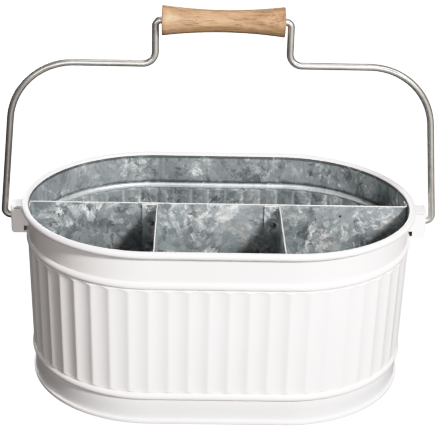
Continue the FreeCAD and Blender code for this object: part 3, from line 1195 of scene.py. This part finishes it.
def make_world():
    """Studio walls: dim on the tub and bright behind it, with the lit table in polished metal."""
    below, above = colour(0.036, 0.033, 0.03), colour(0.125, 0.114, 0.104)
    lit_table = colour(0.95, 0.92, 0.88)
    backdrop = colour(background_glow, background_glow, background_glow)
    world = bpy.data.worlds.new("studio")
    world.use_nodes = True
    world.node_tree.nodes.clear()
    lead = Lead(world.node_tree)
    seen = lead.node("ShaderNodeLightPath", {}, {}, "Is Camera Ray")
    aim = lead.node("ShaderNodeTexCoord", {}, {}, "Generated")
    dim = blended(spread(axis_of(aim, "Z"), -horizon_blend, horizon_blend), below, above)
    towards = aim.vector("DOT_PRODUCT", table_glow_aim, give="Value")
    table = spread(towards, table_glow_edge, table_glow_full)
    gloss = blended(table * seen.out("Is Glossy Ray"), dim, lit_table)
    tint = blended(seen, gloss, backdrop)
    glow = lead.node("ShaderNodeBackground", {}, {"Color": tint, "Strength": 1.0})
    lead.node("ShaderNodeOutputWorld", {}, {"Surface": glow})
    bpy.context.scene.world = world


def set_tone():
    """Camera tone: true up to the mid tones, then a soft shoulder that keeps paint's shading."""
    view = bpy.context.scene.view_settings
    view.view_transform = "Standard"
    view.use_curve_mapping = True
    tone = view.curve_mapping
    brightest = tone_points[-1][0]
    tone.clip_max_x = tone.clip_max_y = brightest
    tone.extend = "EXTRAPOLATED"
    for curve in tone.curves:
        curve.points[1].location = (brightest, brightest)
    shared = tone.curves[3]
    shared.points[1].location = tone_points[-1]
    for seen, shown in tone_points[1:-1]:
        shared.points.new(seen, shown)
    tone.update()


def make_floor():
    """Pale studio floor, which throws no light of its own on the tub."""
    made, lead = new_material("studio_floor")
    shade, light = colour(0.30, 0.30, 0.30), colour(0.31, 0.31, 0.31)
    tint = blended(noise(object_place(lead), scale=1.2), shade, light)
    matt = lead.node("ShaderNodeBsdfDiffuse", {}, {"Color": tint})
    glow = lead.node("ShaderNodeEmission", {}, {
        "Color": colour(1.0, 1.0, 1.0),
        "Strength": background_glow,
    })
    both = lead.node("ShaderNodeAddShader", {}, {0: matt, 1: glow})
    lead.node("ShaderNodeOutputMaterial", {}, {"Surface": both})
    work = bmesh.new()
    bmesh.ops.create_grid(work, x_segments=4, y_segments=4, size=floor_size)
    mesh = bpy.data.meshes.new("studio_floor")
    work.to_mesh(mesh)
    work.free()
    floor = new_object("studio_floor", mesh)
    mesh.materials.append(made)
    floor.visible_diffuse = False
    floor.visible_glossy = False


def dress(node, material):
    """Gives a kept CAD node its finish."""
    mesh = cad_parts[node].data
    mesh.materials.clear()
    mesh.materials.append(material)


def shade_inside(node, dark):
    """Paints shade on the inside of a folded ear."""
    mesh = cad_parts[node].data
    mesh.materials.append(dark)
    low = [min(corner.co[i] for corner in mesh.vertices) + ear_shell for i in range(3)]
    high = [max(corner.co[i] for corner in mesh.vertices) - ear_shell for i in range(3)]
    reach = max(abs(low[0]), abs(high[0]))
    for face in mesh.polygons:
        x, y, z = face.center
        if abs(x) < reach and low[1] < y < high[1] and low[2] < z < high[2]:
            face.material_index = 1


def install(piece, body, node):
    """Puts a piece on its body in place of a CAD node, marked with its part of the sheet."""
    if node in cut_places:
        cut = piece.data.attributes.new("cut", "FLOAT", "POINT")
        cut.data.foreach_set("value", [cut_places[node]] * len(piece.data.vertices))
    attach(piece, body)
    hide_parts(node)


def build():
    weld_darkest, weld_lightest = colour(0.035, 0.034, 0.031), colour(0.10, 0.097, 0.09)
    # Painted shade for the hang hole's shallow dimple and for the insides of the ears
    shade_darkest, shade_lightest = colour(0.012, 0.012, 0.011), colour(0.05, 0.047, 0.043)
    paint = make_white_paint()
    bare_metal = make_galvanised()
    edge_highlight = make_edge_highlight()
    weld_dark = make_dark_mark("burnt_weld_mark", weld_darkest, weld_lightest)
    painted_shade = make_dark_mark("dark_hole", shade_darkest, shade_lightest)
    steel = make_steel_wire()
    wood = make_turned_wood()
    oval_tree = make_oval_tree()
    bent_tree = make_bent_tree()
    wall = make_tub_wall(oval_tree, paint, bare_metal)
    install(wall, "tub", "tub_wall")
    pan = make_bottom_pan(oval_tree, paint, bare_metal)
    install(pan, "tub", "bottom_pan")
    divider = make_long_divider(bent_tree, bare_metal, edge_highlight, painted_shade)
    install(divider, "tub", "long_divider")
    for node, web_x in (
        ("cross_divider_left", -cross_divider_offset),
        ("cross_divider_right", cross_divider_offset),
    ):
        divider = make_cross_divider(
            bent_tree, node + "_bent", web_x, bare_metal, edge_highlight, weld_dark)
        install(divider, "tub", node)
    install(make_bail(bent_tree, steel), "bail", "bail_wire")
    install(make_wood_grip(oval_tree, wood), "grip", "wood_grip")
    dress("rim_wire", steel)
    for ear in ("ear_left", "ear_right"):
        dress(ear, paint)
        shade_inside(ear, painted_shade)
    make_floor()
    make_lights()
    make_world()
    make_camera()
    set_tone()


build()
